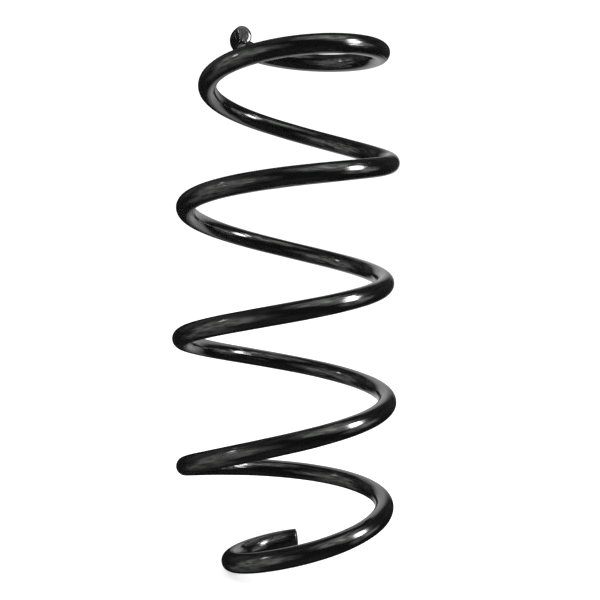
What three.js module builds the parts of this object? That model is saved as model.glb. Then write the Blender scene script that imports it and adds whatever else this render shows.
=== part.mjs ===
// A coil spring for a car's front suspension strut, in millimetres, +Z up.
//
// The spring is one round steel bar, wound right-handed. It starts in a small lower end coil, which sits in
// the strut's lower seat, climbs through four active turns, and ends in a small upper end coil that turns
// inwards under the upper seat. The bar is divided at each quarter turn, so that the spring can shorten: each
// length is one solid, and the cut planes are upright, so that neighbours slide past one another.
//
// The origin is on the spring's axis, level with the lowest point of the bar.
import * as THREE from "three";

// Driving dimensions, in millimetres.
const BAR_DIAMETER = 13;
const GAP = 0.3; // left between neighbouring lengths of the bar

// The lower end coil is wound off the spring's axis by this much, which fades out by the second turn.
const LOWER_SHIFT = new THREE.Vector2(10, -13);
const LOWER_SHIFT_FADE = [120, 600]; // degrees of turn

// The winding: the coil's radius and the height of the bar's centre at each angle of turn, in degrees. The
// angle is 0 at +X and grows counter-clockwise seen from above. The pitch isn't even, because the end coils
// are tilted to the axis, as on a spring that balances a strut's side load.
const WINDING = [
  { turn: 87, radius: 39, height: 11.5 },
  { turn: 180, radius: 43, height: 7 },
  { turn: 270, radius: 54, height: 23 },
  { turn: 360, radius: 66.5, height: 44 },
  { turn: 450, radius: 67, height: 54 },
  { turn: 540, radius: 67.5, height: 67.5 },
  { turn: 630, radius: 69.5, height: 94.4 },
  { turn: 720, radius: 73, height: 116.5 },
  { turn: 900, radius: 71.5, height: 156 },
  { turn: 1080, radius: 70, height: 199.6 },
  { turn: 1260, radius: 70, height: 246.4 },
  { turn: 1440, radius: 72.5, height: 283.4 },
  { turn: 1530, radius: 68, height: 316.1 },
  { turn: 1620, radius: 56.5, height: 334.6 },
  { turn: 1710, radius: 55, height: 347.6 },
  { turn: 1800, radius: 64.8, height: 359 },
  { turn: 1890, radius: 55.5, height: 367.6 },
  { turn: 1930, radius: 46.5, height: 369.4 },
  { turn: 1980, radius: 31.5, height: 370.5 },
];

// The bar is divided at each quarter turn, in degrees, from the first cut on.
const FIRST_CUT = 180;
const QUARTER = 90;
const ACTIVE_TURNS = 4;

// Fineness.
const SECTION_SIDES = 16;
const STEPS_PER_LENGTH = 10;
const TURN_STEP = 0.05; // degrees, for reading the bar's direction

// Natural cubic spline through (x, y) points: returns a function of x with a smooth slope and curvature.
function naturalSpline(xs, ys) {
  const last = xs.length - 1;
  const gaps = xs.slice(1).map((x, i) => x - xs[i]);
  const slopes = gaps.map((gap, i) => (ys[i + 1] - ys[i]) / gap);
  const bends = new Array(last + 1).fill(0); // second derivatives, zero at both ends
  const pivots = new Array(last + 1).fill(1);
  for (let i = 1; i < last; i++) {
    const share = i > 1 ? gaps[i - 1] / pivots[i - 1] : 0;
    pivots[i] = 2 * (gaps[i - 1] + gaps[i]) - share * gaps[i - 1];
    bends[i] = 6 * (slopes[i] - slopes[i - 1]) - share * bends[i - 1];
  }
  for (let i = last - 1; i > 0; i--) {
    bends[i] = (bends[i] - gaps[i] * bends[i + 1]) / pivots[i];
  }
  return (x) => {
    const after = xs.findIndex((knot, i) => i > 0 && x <= knot);
    const i = after < 0 ? last - 1 : after - 1;
    const toNext = xs[i + 1] - x;
    const fromHere = x - xs[i];
    const cubic = (bends[i] * toNext ** 3 + bends[i + 1] * fromHere ** 3) / (6 * gaps[i]);
    const before = (ys[i] / gaps[i] - (bends[i] * gaps[i]) / 6) * toNext;
    const beyond = (ys[i + 1] / gaps[i] - (bends[i + 1] * gaps[i]) / 6) * fromHere;
    return cubic + before + beyond;
  };
}

const turns = WINDING.map((row) => row.turn);
const radiusAt = naturalSpline(turns, WINDING.map((row) => row.radius));
const heightAt = naturalSpline(turns, WINDING.map((row) => row.height));

// The centre of the bar at an angle of turn, in degrees.
function centreAt(turn, target = new THREE.Vector3()) {
  const angle = THREE.MathUtils.degToRad(turn);
  const shift = 1 - THREE.MathUtils.smoothstep(turn, ...LOWER_SHIFT_FADE);
  const radius = radiusAt(turn);
  return target.set(
    radius * Math.cos(angle) + shift * LOWER_SHIFT.x,
    radius * Math.sin(angle) + shift * LOWER_SHIFT.y,
    heightAt(turn),
  );
}

// The short way along the bar from one turn step before an angle of turn to one after it.
function advanceAt(turn) {
  return centreAt(turn + TURN_STEP).sub(centreAt(turn - TURN_STEP));
}

// The angle of turn that half the gap takes at a place on the bar.
function halfGapAt(turn) {
  const perDegree = advanceAt(turn).length() / (2 * TURN_STEP);
  return GAP / 2 / perDegree;
}

// One stretch of the bar's centre line. Its sections stand upright instead of square to the bar, and are
// stretched to match, so that a round section swept along it still makes a round bar.
class BarLength extends THREE.Curve {
  constructor(fromTurn, toTurn) {
    super();
    this.fromTurn = fromTurn;
    this.toTurn = toTurn;
  }

  turnAt(t) {
    return THREE.MathUtils.lerp(this.fromTurn, this.toTurn, t);
  }

  getPoint(t, target = new THREE.Vector3()) {
    return centreAt(this.turnAt(t), target);
  }

  // The sections are spaced evenly by turn, not by distance.
  getPointAt(t, target) {
    return this.getPoint(t, target);
  }

  computeFrenetFrames(steps) {
    const frames = { tangents: [], normals: [], binormals: [] };
    for (let i = 0; i <= steps; i++) {
      const tangent = advanceAt(this.turnAt(i / steps)).normalize();
      const level = Math.hypot(tangent.x, tangent.y);
      frames.tangents.push(tangent);
      frames.normals.push(new THREE.Vector3(-tangent.y / level, tangent.x / level, 0));
      frames.binormals.push(new THREE.Vector3(0, 0, 1 / level));
    }
    return frames;
  }
}

function barSection() {
  const corners = [];
  for (let i = 0; i < SECTION_SIDES; i++) {
    const angle = (i / SECTION_SIDES) * 2 * Math.PI;
    const x = (BAR_DIAMETER / 2) * Math.cos(angle);
    const y = (BAR_DIAMETER / 2) * Math.sin(angle);
    corners.push(new THREE.Vector2(x, y));
  }
  return new THREE.Shape(corners);
}

function barLength(name, fromTurn, toTurn) {
  const extrudePath = new BarLength(fromTurn, toTurn);
  const geometry = new THREE.ExtrudeGeometry(barSection(), { steps: STEPS_PER_LENGTH, extrudePath });
  const paint = new THREE.MeshStandardMaterial({ color: 0x0b0b0c, roughness: 0.18, metalness: 0 });
  const mesh = new THREE.Mesh(geometry, paint);
  mesh.name = name;
  return mesh;
}

// The lengths' names, from the bar's lower end to its upper end.
function lengthNames() {
  const names = ["lower_end_tip", "lower_end_coil"];
  for (let coil = 1; coil <= ACTIVE_TURNS; coil++) {
    for (const side of ["front_right", "back_right", "back_left", "front_left"]) {
      names.push(`coil_${coil}_${side}`);
    }
  }
  return [...names, "upper_end_coil_front", "upper_end_coil_back", "upper_end_tip"];
}

const spring = new THREE.Group();
const barStart = turns[0];
const barEnd = turns[turns.length - 1];
lengthNames().forEach((name, i) => {
  const before = FIRST_CUT + (i - 1) * QUARTER;
  const after = before + QUARTER;
  const from = i > 0 ? before + halfGapAt(before) : barStart;
  const to = after < barEnd ? after - halfGapAt(after) : barEnd;
  spring.add(barLength(name, from, to));
});

// The heights above are the winding machine's: this stands the lowest point of the bar at z = 0.
spring.position.z = -new THREE.Box3().setFromObject(spring).min.z;

export default spring;
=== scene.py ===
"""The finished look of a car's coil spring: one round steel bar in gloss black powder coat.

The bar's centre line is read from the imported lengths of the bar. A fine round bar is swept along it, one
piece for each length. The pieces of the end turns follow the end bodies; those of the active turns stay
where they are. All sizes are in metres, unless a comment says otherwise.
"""

import math

import bpy
import numpy as np
from mathutils import Matrix, Vector, noise


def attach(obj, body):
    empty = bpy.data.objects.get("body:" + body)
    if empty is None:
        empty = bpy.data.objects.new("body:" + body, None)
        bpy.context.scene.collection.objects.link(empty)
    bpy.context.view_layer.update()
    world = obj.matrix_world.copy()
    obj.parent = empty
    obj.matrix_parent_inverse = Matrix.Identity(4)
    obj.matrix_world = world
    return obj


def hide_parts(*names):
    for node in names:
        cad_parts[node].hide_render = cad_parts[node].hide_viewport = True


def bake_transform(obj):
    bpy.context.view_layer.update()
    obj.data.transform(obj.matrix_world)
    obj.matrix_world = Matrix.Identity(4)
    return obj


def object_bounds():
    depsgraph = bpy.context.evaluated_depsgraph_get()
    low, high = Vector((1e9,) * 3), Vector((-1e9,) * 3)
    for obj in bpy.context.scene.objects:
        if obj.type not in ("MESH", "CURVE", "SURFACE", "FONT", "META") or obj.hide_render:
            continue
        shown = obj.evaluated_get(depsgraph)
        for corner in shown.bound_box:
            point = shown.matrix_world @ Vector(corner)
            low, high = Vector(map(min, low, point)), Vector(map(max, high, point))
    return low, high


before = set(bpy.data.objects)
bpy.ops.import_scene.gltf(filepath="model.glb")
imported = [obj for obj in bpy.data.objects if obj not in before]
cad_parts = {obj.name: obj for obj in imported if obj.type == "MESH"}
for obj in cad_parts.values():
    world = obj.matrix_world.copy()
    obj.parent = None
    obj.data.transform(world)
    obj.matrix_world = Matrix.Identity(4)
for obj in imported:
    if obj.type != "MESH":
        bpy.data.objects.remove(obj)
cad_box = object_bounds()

MM = 0.001

# The bar.
BAR_RADIUS = 6.5 * MM
SIDES = 64  # points round the bar
RINGS_PER_STEP = 6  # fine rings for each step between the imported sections
GAP_REACH = 1 * MM  # a packed length's end section lies within this of its neighbour's

# How the spring is divided.
LOWER_END = ["lower_end_tip", "lower_end_coil"]
UPPER_END = ["upper_end_coil_front", "upper_end_coil_back", "upper_end_tip"]
ACTIVE = [
    f"coil_{coil}_{side}"
    for coil in range(1, 5)
    for side in ("front_right", "back_right", "back_left", "front_left")
]
LENGTHS = LOWER_END + ACTIVE + UPPER_END

# The unevenness of the coated bar, as (depth, wavelength along the bar, wavelength round it).
RELIEF = [(0.09 * MM, 24 * MM, 8 * MM), (0.025 * MM, 10 * MM, 3.5 * MM)]

# The cut ends.
RIM_RADIUS = 0.9 * MM  # rounding of the edge
RIM_STEPS = 6
BEVEL_WIDTH = 1.9 * MM  # crowned band inside the rim
BEVEL_STEPS = 6
BEVEL_SLOPES = (math.radians(20), math.radians(5))  # from the face's plane, outside and inside
FACE_RINGS = 9
FACE_DEPTH = 0.1 * MM  # of the grain on the sheared face
FACE_GRAIN = 1.6 * MM

# The coat. Wavelengths are in millimetres, along the bar and round it. Depths are in metres.
COAT_COLOURS = (0.0015, 0.0015, 0.0017), (0.004, 0.004, 0.0042)
COAT_PATCHES = (30, 10)
COAT_IOR = 2  # a hard, wet-looking gloss
COAT_ROUGHNESS = (0.07, 0.17)
COAT_ROUGHNESS_WAVES = (22, 3)
PEEL_WAVES = (3.2, 2.4)
PEEL_DEPTH = 0.03 * MM
DRAW_LINES_WAVES = (34, 1.4)
DRAW_LINES_RAMP = (0.5, 0.7)
DRAW_LINES_DEPTH = 0.14 * MM
DRAWN_PATCHES = (45, 14)  # where the draw lines show
DRAWN_PATCHES_RAMP = (0.42, 0.62)
FAINTEST_DRAW_LINES = 0.15

# The coat on the cut ends.
CUT_FACE_COLOURS = (0.002, 0.002, 0.0022), (0.012, 0.012, 0.013)
CUT_FACE_PATCHES = (2, 1.3)
CUT_FACE_ROUGHNESS = (0.3, 0.5)
CUT_FACE_SPECULAR = 0.4
GRAIN_WAVES = (0.5, 0.5)
GRAIN_DEPTH = 0.05 * MM

# The camera: level with the middle of the spring.
CAMERA_DISTANCE = 0.6343
CAMERA_HEIGHT = 0.1869
CAMERA_LENS = 54.2  # millimetres
CAMERA_SENSOR = 36  # millimetres
CAMERA_TURN = (0.0171, -0.0026, 0.0155)  # yaw, pitch and roll, in radians

# The studio. Directions are (azimuth, elevation) in degrees, with azimuth 0 on the camera's side and 90 on
# the right. Levels are radiances, where 1 is white.
WHITE_LEVEL = 1.2
FLOOR_COLOUR = (0.92, 0.92, 0.92, 1)
FLOOR_ROUGHNESS = 0.9
FLOOR_GLOW = 0.5  # keeps the floor as white as the background, with a faint shadow
FLOOR_HALF_WIDTH = 20
PANELS = [  # name, direction, distance, (width, height), level, how much of each half fades out
    ("softbox", (69, 20), 1.15, (0.48, 0.78), 19, (0.9, 0.5)),
    ("small_lamp", (-72, 24), 1.0, (0.12, 0.2), 6, (0.6, 0.4)),
    ("back_panel", (168, 0), 0.2, (0.28, 0.5), 0.75, (0.8, 0.5)),
]
ROOM_LEVEL = 0.018  # everywhere in the room that the gloss reflects
ROOM_GLOWS = [  # centre, inner angle, outer angle, level
    ((42, 57), 3, 36, 0.75),
    ((60, 32), 6, 32, 0.42),
    ((-65, -3), 12, 48, 0.45),
    ((-32, -3), 5, 34, 0.2),
    ((-100, 45), 15, 60, 0.08),
    ((140, 40), 10, 60, 0.03),
    ((-105, -46), 10, 35, 0.18),
    ((20, -68), 10, 45, 0.03),
    ((84, -8), 5, 26, 0.6),
]
CLUTTER_SCALE = 6  # the clutter makes the glows uneven
CLUTTER_DETAIL = 3
CLUTTER_RAMP = (0.38, 0.62)
CLUTTER_RANGE = (0.2, 2)
ROOM_TINT = (0.96, 1, 0.95, 1)


# ---------------------------------------------------------------------------------------------------------
# The bar's centre line


def welded(node):
    """A packed length's points without repeats, and which of them an edge joins."""
    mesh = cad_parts[node].data
    every = np.array([v.co for v in mesh.vertices])
    points, index = np.unique(every, axis=0, return_inverse=True)
    index = index.ravel()
    joined = np.zeros((len(points), len(points)), bool)
    for edge in mesh.edges:
        a, b = index[list(edge.vertices)]
        joined[a, b] = joined[b, a] = True
    return points, joined


def section_centres(node, neighbour):
    """The centres of a packed length's sections, from the end that faces its neighbour to the far end."""
    points, joined = welded(node)
    others = welded(neighbour)[0]
    apart = np.linalg.norm(points[:, None] - others[None], axis=2).min(axis=1)
    section = apart < GAP_REACH
    passed = np.zeros(len(points), bool)
    centres = []
    while section.any():
        centres.append(points[section].mean(axis=0))
        passed |= section
        section = joined[section].any(axis=0) & ~passed
    return centres


def packed_centre_line():
    """One point for each step along the whole bar. Where two lengths meet, it is the middle of the gap."""
    rows = [section_centres(LENGTHS[0], LENGTHS[1])[::-1]]
    for before, name in zip(LENGTHS, LENGTHS[1:]):
        rows.append(section_centres(name, before))
    line = rows[0][:-1]
    for before, after in zip(rows, rows[1:]):
        line.append((before[-1] + after[0]) / 2)
        line.extend(after[1:-1])
    line.append(rows[-1][-1])
    return np.array(line)


def natural_spline(x, y, at):
    """The natural cubic spline through the points y at x: its values and its slopes at the places `at`."""
    gap = np.diff(x)
    slope = np.diff(y, axis=0) / gap[:, None]
    system = np.eye(len(x))
    bends = np.zeros_like(y)
    for i in range(1, len(x) - 1):
        system[i, i - 1 : i + 2] = gap[i - 1], 2 * (gap[i - 1] + gap[i]), gap[i]
        bends[i] = 6 * (slope[i] - slope[i - 1])
    bends = np.linalg.solve(system, bends)
    i = np.clip(np.searchsorted(x, at, side="right") - 1, 0, len(gap) - 1)
    t = (at - x[i])[:, None]
    h = gap[i][:, None]
    linear = slope[i] - h * (2 * bends[i] + bends[i + 1]) / 6
    cubic = (bends[i + 1] - bends[i]) / (6 * h)
    values = y[i] + t * (linear + t * (bends[i] / 2 + t * cubic))
    slopes = linear + t * (bends[i] + 3 * t * cubic)
    return values, slopes


def unit(vectors):
    return vectors / np.linalg.norm(vectors, axis=-1, keepdims=True)


class CentreLine:
    """The bar's centre line at its fine rings.

    At each ring it has the place, the direction, the level way sideways, the way up and the distance along.
    """

    def __init__(self):
        knots = packed_centre_line()
        along = np.r_[0, np.cumsum(np.linalg.norm(np.diff(knots, axis=0), axis=1))]
        steps = len(knots) - 1
        fine = np.linspace(0, steps, steps * RINGS_PER_STEP + 1)
        self.along = np.interp(fine, np.arange(steps + 1), along)
        self.place, slopes = natural_spline(along, knots, self.along)
        self.direction = unit(slopes)
        self.side = unit(np.cross(self.direction, (0, 0, 1)))
        self.up = np.cross(self.side, self.direction)
        self.rings_per_length = steps * RINGS_PER_STEP // len(LENGTHS)


# ---------------------------------------------------------------------------------------------------------
# The bar's surface


def relief(along, around):
    """How far the coat stands off a true round bar, at a distance along it and an angle round it."""
    height = 0
    for depth, wave_along, wave_round in RELIEF:
        reach = BAR_RADIUS / wave_round
        spot = Vector((along / wave_along, reach * math.cos(around), reach * math.sin(around)))
        height += depth * noise.noise(spot)
    return height


class BarSurface:
    """Points and normals of the whole bar, ring by ring."""

    def __init__(self, line):
        angles = np.arange(SIDES) * (2 * math.pi / SIDES)
        self.round = np.cos(angles)[None, :, None], np.sin(angles)[None, :, None]
        outward = self.round[0] * line.side[:, None] + self.round[1] * line.up[:, None]
        heights = np.array([[relief(s, a) for a in angles] for s in line.along])
        self.points = line.place[:, None] + (BAR_RADIUS + heights[..., None]) * outward
        lengthwise = np.gradient(self.points, axis=0)
        crosswise = np.roll(self.points, -1, axis=1) - np.roll(self.points, 1, axis=1)
        normals = unit(np.cross(crosswise, lengthwise))
        facing = np.sign((normals * outward).sum(axis=-1, keepdims=True))
        self.normals = normals * facing
        self.places = np.empty_like(self.points)  # where a point is on the bar laid out straight
        self.places[..., 0] = line.along[:, None]
        self.places[..., 1] = BAR_RADIUS * self.round[0][..., 0]
        self.places[..., 2] = BAR_RADIUS * self.round[1][..., 0]


def end_profile():
    """A cut end's half section, from the bar's round to its middle, and the radius of its flat face.

    Each point is (radius, distance along the bar from the face), with the distance negative behind the face.
    """
    start, end = BEVEL_SLOPES
    turns = np.linspace(0, math.pi / 2 - start, RIM_STEPS + 1)
    profile = [
        (BAR_RADIUS - RIM_RADIUS * (1 - math.cos(turn)), RIM_RADIUS * math.sin(turn)) for turn in turns
    ]
    for slope in np.linspace(start, end, BEVEL_STEPS):
        radius, forward = profile[-1]
        step = BEVEL_WIDTH / BEVEL_STEPS
        profile.append((radius - step, forward + step * math.tan(slope)))
    radius, forward = profile[-1]
    profile += [(radius * (1 - i / FACE_RINGS), forward) for i in range(1, FACE_RINGS)]
    return [(radius, reach - forward) for radius, reach in profile], radius


def cut_end(line, surface, ring, outwards):
    """Rows of points for a cut end's rounded rim, bevel and sheared face, from the rim inwards."""
    profile, face_radius = end_profile()
    rows = []
    for radius, forward in profile:
        share = radius / BAR_RADIUS
        places = surface.places[ring] * (1, share, share)
        spread = (surface.points[ring] - line.place[ring]) * share
        settled = min(1, (BAR_RADIUS - radius) / (BAR_RADIUS - face_radius))
        grain = [settled * FACE_DEPTH * noise.noise(Vector(p) / FACE_GRAIN) for p in places]
        depth = (forward + np.array(grain)[:, None]) * outwards
        points = line.place[ring] + spread + depth * line.direction[ring]
        rows.append(Row(points, places, None, radius < face_radius))
    return rows


# ---------------------------------------------------------------------------------------------------------
# Materials


def new_material(name):
    """A node material: its node tree, its shader, and the place on the straight bar, in millimetres."""
    material = bpy.data.materials.new(name)
    material.use_nodes = True
    nodes, links = material.node_tree.nodes, material.node_tree.links
    place = nodes.new("ShaderNodeAttribute")
    place.attribute_name = "bar_place"
    in_mm = nodes.new("ShaderNodeVectorMath")
    in_mm.operation = "SCALE"
    in_mm.inputs["Scale"].default_value = 1 / MM
    links.new(place.outputs["Vector"], in_mm.inputs[0])
    return material, nodes, links, nodes["Principled BSDF"], in_mm.outputs["Vector"]


def stretched_noise(nodes, links, vector, waves, detail=2):
    """A noise from 0 to 1 with its own wavelengths, in millimetres, along and round the bar."""
    wave_along, wave_round = waves
    scaled = nodes.new("ShaderNodeVectorMath")
    scaled.operation = "MULTIPLY"
    scaled.inputs[1].default_value = (1 / wave_along, 1 / wave_round, 1 / wave_round)
    links.new(vector, scaled.inputs[0])
    texture = nodes.new("ShaderNodeTexNoise")
    texture.inputs["Scale"].default_value = 1
    texture.inputs["Detail"].default_value = detail
    links.new(scaled.outputs["Vector"], texture.inputs["Vector"])
    return texture.outputs["Fac"]


def between(nodes, links, value, low, high, start=0.3, end=0.7):
    """The value, from start to end, mapped to low to high."""
    ramp = nodes.new("ShaderNodeMapRange")
    ramp.inputs["From Min"].default_value = start
    ramp.inputs["From Max"].default_value = end
    ramp.inputs["To Min"].default_value = low
    ramp.inputs["To Max"].default_value = high
    links.new(value, ramp.inputs["Value"])
    return ramp.outputs["Result"]


def combined(nodes, links, first, second, operation):
    result = nodes.new("ShaderNodeMath")
    result.operation = operation
    links.new(first, result.inputs[0])
    links.new(second, result.inputs[1])
    return result.outputs["Value"]


def two_colours(nodes, links, value, first, second):
    mix = nodes.new("ShaderNodeMix")
    mix.data_type = "RGBA"
    mix.inputs["A"].default_value = (*first, 1)
    mix.inputs["B"].default_value = (*second, 1)
    links.new(value, mix.inputs["Factor"])
    return mix.outputs["Result"]


def bumps(nodes, links, layers):
    """Bump nodes one after another, from (height, depth in metres) pairs."""
    normal = None
    for height, depth in layers:
        bump = nodes.new("ShaderNodeBump")
        bump.inputs["Strength"].default_value = 1
        bump.inputs["Distance"].default_value = depth
        links.new(height, bump.inputs["Height"])
        if normal:
            links.new(normal, bump.inputs["Normal"])
        normal = bump.outputs["Normal"]
    return normal


def black_coating():
    """Gloss black powder coat: orange peel, faint draw lines from the bar below, and uneven gloss."""
    material, nodes, links, shader, place = new_material("gloss_black_coating")
    patches = stretched_noise(nodes, links, place, COAT_PATCHES)
    links.new(two_colours(nodes, links, patches, *COAT_COLOURS), shader.inputs["Base Color"])
    shader.inputs["IOR"].default_value = COAT_IOR
    gloss = stretched_noise(nodes, links, place, COAT_ROUGHNESS_WAVES, detail=4)
    links.new(between(nodes, links, gloss, *COAT_ROUGHNESS), shader.inputs["Roughness"])
    peel = stretched_noise(nodes, links, place, PEEL_WAVES)
    lines = stretched_noise(nodes, links, place, DRAW_LINES_WAVES)
    lines = between(nodes, links, lines, 0, 1, *DRAW_LINES_RAMP)
    here = stretched_noise(nodes, links, place, DRAWN_PATCHES)
    here = between(nodes, links, here, FAINTEST_DRAW_LINES, 1, *DRAWN_PATCHES_RAMP)
    drawn = combined(nodes, links, lines, here, "MULTIPLY")
    normal = bumps(nodes, links, [(peel, PEEL_DEPTH), (drawn, DRAW_LINES_DEPTH)])
    links.new(normal, shader.inputs["Normal"])
    return material


def cut_face_coating():
    """The same coat on the sheared end faces, where it is thin and dull over the torn grain."""
    material, nodes, links, shader, place = new_material("coating_on_cut_face")
    patches = stretched_noise(nodes, links, place, CUT_FACE_PATCHES, detail=5)
    links.new(two_colours(nodes, links, patches, *CUT_FACE_COLOURS), shader.inputs["Base Color"])
    links.new(between(nodes, links, patches, *CUT_FACE_ROUGHNESS), shader.inputs["Roughness"])
    shader.inputs["Specular IOR Level"].default_value = CUT_FACE_SPECULAR
    grain = stretched_noise(nodes, links, place, GRAIN_WAVES, detail=4)
    links.new(bumps(nodes, links, [(grain, GRAIN_DEPTH)]), shader.inputs["Normal"])
    return material


# ---------------------------------------------------------------------------------------------------------
# Pieces


class Row:
    """One ring of a piece: its points, their places on the straight bar, and normals, if they are set."""

    def __init__(self, points, places, normals, on_cut_face=False):
        self.points = points
        self.places = places
        self.normals = np.zeros_like(points) if normals is None else normals
        self.on_cut_face = on_cut_face


def rows_of(index, line, surface):
    """One length's rings from end to end, with the cut ends where the bar ends."""
    first = index * line.rings_per_length
    last = first + line.rings_per_length
    rows = [
        Row(surface.points[i], surface.places[i], surface.normals[i]) for i in range(first, last + 1)
    ]
    if index == 0:
        rows = cut_end(line, surface, first, -1)[::-1] + rows[1:]
    if index == len(LENGTHS) - 1:
        rows = rows[:-1] + cut_end(line, surface, last, 1)
    return rows


def closed_tube(name, rows, materials):
    """A mesh object of the rows, closed by a fan on a cut end and by one flat face next to a neighbour."""
    points = [p for row in rows for p in row.points]
    places = [p for row in rows for p in row.places]
    faces, kinds = [], []
    for i in range(len(rows) - 1):
        for j in range(SIDES):
            a, b = i * SIDES + j, i * SIDES + (j + 1) % SIDES
            faces.append((a, a + SIDES, b + SIDES, b))
            kinds.append(rows[i].on_cut_face or rows[i + 1].on_cut_face)
    for row, offset, order in ((rows[0], 0, 1), (rows[-1], (len(rows) - 1) * SIDES, -1)):
        ring = [offset + j for j in range(SIDES)][::order]
        if row.on_cut_face:
            points.append(row.points.mean(axis=0))
            places.append(row.places.mean(axis=0))
            for a, b in zip(ring, ring[1:] + ring[:1]):
                faces.append((len(points) - 1, a, b))
                kinds.append(True)
        else:
            faces.append(tuple(ring))
            kinds.append(False)
    mesh = bpy.data.meshes.new(name)
    mesh.from_pydata([tuple(p) for p in points], [], faces)
    for material in materials:
        mesh.materials.append(material)
    normals = np.vstack([row.normals for row in rows] + [np.zeros((2, 3))])
    corner_normals = []
    for face, on_cut_face in zip(mesh.polygons, kinds):
        flat_end = len(face.vertices) == SIDES
        face.use_smooth = not flat_end
        face.material_index = int(on_cut_face)
        corner_normals += [(0, 0, 0) if flat_end else tuple(normals[v]) for v in face.vertices]
    mesh.normals_split_custom_set(corner_normals)
    attribute = mesh.attributes.new("bar_place", "FLOAT_VECTOR", "POINT")
    attribute.data.foreach_set("vector", np.array(places, np.float32).ravel())
    piece = bpy.data.objects.new(name, mesh)
    bpy.context.scene.collection.objects.link(piece)
    return piece


def bend_with_spring(piece):
    """Bakes the piece's place into its mesh; the piece stays where it is and follows no body."""
    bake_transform(piece)


def build_spring():
    line = CentreLine()
    surface = BarSurface(line)
    materials = [black_coating(), cut_face_coating()]
    for index, name in enumerate(LENGTHS):
        piece = closed_tube("bar_" + name, rows_of(index, line, surface), materials)
        if name in ACTIVE:
            bend_with_spring(piece)
        else:
            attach(piece, "lower_end" if name in LOWER_END else "upper_end")
        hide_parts(name)


# ---------------------------------------------------------------------------------------------------------
# Studio


def soft_edged(data, fades):
    """Makes a panel's light fade out towards its sides and its ends."""
    data.use_nodes = True
    nodes, links = data.node_tree.nodes, data.node_tree.links
    apart = nodes.new("ShaderNodeSeparateXYZ")
    links.new(nodes.new("ShaderNodeNewGeometry").outputs["Parametric"], apart.inputs["Vector"])
    level = None
    for axis, fade in zip("XY", fades):
        off_middle = nodes.new("ShaderNodeMath")
        off_middle.operation = "SUBTRACT"
        off_middle.inputs[1].default_value = 0.5
        links.new(apart.outputs[axis], off_middle.inputs[0])
        distance = nodes.new("ShaderNodeMath")
        distance.operation = "ABSOLUTE"
        links.new(off_middle.outputs["Value"], distance.inputs[0])
        share = between(nodes, links, distance.outputs["Value"], 1, 0, start=0.5 * (1 - fade), end=0.5)
        share.node.interpolation_type = "SMOOTHSTEP"
        level = combined(nodes, links, level, share, "MULTIPLY") if level else share
    links.new(level, nodes["Emission"].inputs["Strength"])


def soft_panel(name, centre, direction, distance, size, level, fades):
    """A soft panel that faces the centre from a direction. Its level is the radiance of its middle."""
    data = bpy.data.lights.new(name, "AREA")
    data.shape = "ELLIPSE"
    data.size, data.size_y = size
    data.energy = level * math.pi * data.size * data.size_y * math.pi / 4
    soft_edged(data, fades)
    panel = bpy.data.objects.new(name, data)
    bpy.context.scene.collection.objects.link(panel)
    panel.location = centre + direction * distance
    panel.rotation_euler = direction.to_track_quat("Z", "Y").to_euler()
    panel.visible_camera = False
    panel.visible_diffuse = False  # the panels only show in the gloss: the white room lights the rest


def white_floor():
    material = bpy.data.materials.new("floor")
    material.use_nodes = True
    shader = material.node_tree.nodes["Principled BSDF"]
    shader.inputs["Base Color"].default_value = FLOOR_COLOUR
    shader.inputs["Roughness"].default_value = FLOOR_ROUGHNESS
    shader.inputs["Emission Color"].default_value = (1, 1, 1, 1)
    shader.inputs["Emission Strength"].default_value = FLOOR_GLOW
    half = FLOOR_HALF_WIDTH
    mesh = bpy.data.meshes.new("floor")
    corners = [(-half, -half, 0), (half, -half, 0), (half, half, 0), (-half, half, 0)]
    mesh.from_pydata(corners, [], [(0, 1, 2, 3)])
    mesh.materials.append(material)
    floor = bpy.data.objects.new("floor", mesh)
    bpy.context.scene.collection.objects.link(floor)
    floor.visible_glossy = False


def towards(azimuth, elevation):
    """The direction at an azimuth and an elevation in degrees, as in PANELS and ROOM_GLOWS."""
    turn, rise = math.radians(azimuth), math.radians(elevation)
    return Vector((math.sin(turn) * math.cos(rise), -math.cos(turn) * math.cos(rise), math.sin(rise)))


def glow(nodes, links, direction, centre, inner, outer, level):
    """A round soft patch of light: full inside an angle from its centre, and gone outside another."""
    aim = nodes.new("ShaderNodeVectorMath")
    aim.operation = "DOT_PRODUCT"
    aim.inputs[1].default_value = towards(*centre)
    links.new(direction, aim.inputs[0])
    edge, full = (math.cos(math.radians(angle)) for angle in (outer, inner))
    fade = between(nodes, links, aim.outputs["Value"], 0, level, start=edge, end=full)
    fade.node.interpolation_type = "SMOOTHSTEP"
    return fade


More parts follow.
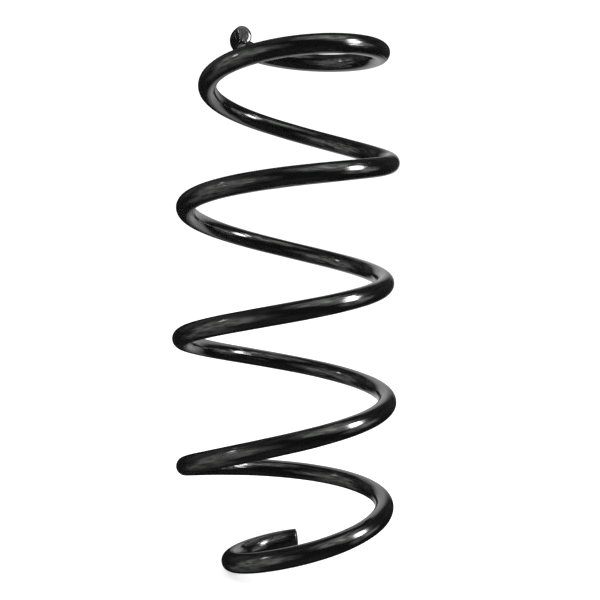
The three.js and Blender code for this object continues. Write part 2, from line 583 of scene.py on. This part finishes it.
def studio_world():
    """White all round for the camera and the floor. What the gloss reflects is a dim, cluttered room."""
    world = bpy.data.worlds.new("studio")
    bpy.context.scene.world = world
    world.use_nodes = True
    world.cycles.sampling_method = "NONE"  # so that the gloss sees only the dim room
    nodes, links = world.node_tree.nodes, world.node_tree.links
    white = nodes["Background"]
    white.inputs["Color"].default_value = (1, 1, 1, 1)
    white.inputs["Strength"].default_value = WHITE_LEVEL
    direction = nodes.new("ShaderNodeTexCoord").outputs["Generated"]
    lit = None
    for patch in ROOM_GLOWS:
        spot = glow(nodes, links, direction, *patch)
        lit = combined(nodes, links, lit, spot, "ADD") if lit else spot
    clutter = nodes.new("ShaderNodeTexNoise")
    clutter.inputs["Scale"].default_value = CLUTTER_SCALE
    clutter.inputs["Detail"].default_value = CLUTTER_DETAIL
    links.new(direction, clutter.inputs["Vector"])
    uneven = between(nodes, links, clutter.outputs["Fac"], *CLUTTER_RANGE, *CLUTTER_RAMP)
    lit = combined(nodes, links, lit, uneven, "MULTIPLY")
    base = nodes.new("ShaderNodeMath")
    base.operation = "ADD"
    base.inputs[1].default_value = ROOM_LEVEL
    links.new(lit, base.inputs[0])
    room = nodes.new("ShaderNodeBackground")
    room.inputs["Color"].default_value = ROOM_TINT
    links.new(base.outputs["Value"], room.inputs["Strength"])
    rays = nodes.new("ShaderNodeLightPath")
    mix = nodes.new("ShaderNodeMixShader")
    links.new(rays.outputs["Is Glossy Ray"], mix.inputs["Fac"])
    links.new(white.outputs["Background"], mix.inputs[1])
    links.new(room.outputs["Background"], mix.inputs[2])
    links.new(mix.outputs["Shader"], nodes["World Output"].inputs["Surface"])


def studio_lights(centre):
    for name, (azimuth, elevation), *how in PANELS:
        soft_panel(name, centre, towards(azimuth, elevation), *how)


def photographers_camera():
    """Stands in front of the spring, level with its middle."""
    yaw, pitch, roll = CAMERA_TURN
    ahead = Vector((math.sin(yaw) * math.cos(pitch), math.cos(yaw) * math.cos(pitch), math.sin(pitch)))
    level = Vector((math.cos(yaw), -math.sin(yaw), 0))
    upright = level.cross(ahead)
    right = math.cos(roll) * level + math.sin(roll) * upright
    up = math.cos(roll) * upright - math.sin(roll) * level
    data = bpy.data.cameras.new("camera")
    data.lens = CAMERA_LENS
    data.sensor_width = CAMERA_SENSOR
    camera = bpy.data.objects.new("camera", data)
    bpy.context.scene.collection.objects.link(camera)
    turned = Matrix((right, up, -ahead)).transposed().to_4x4()
    camera.matrix_world = Matrix.Translation((0, -CAMERA_DISTANCE, CAMERA_HEIGHT)) @ turned
    bpy.context.scene.camera = camera


# White stays white, as in a catalogue picture.
bpy.context.scene.view_settings.view_transform = "Standard"

build_spring()
middle = (cad_box[0] + cad_box[1]) / 2
white_floor()
studio_world()
studio_lights(middle)
photographers_camera()
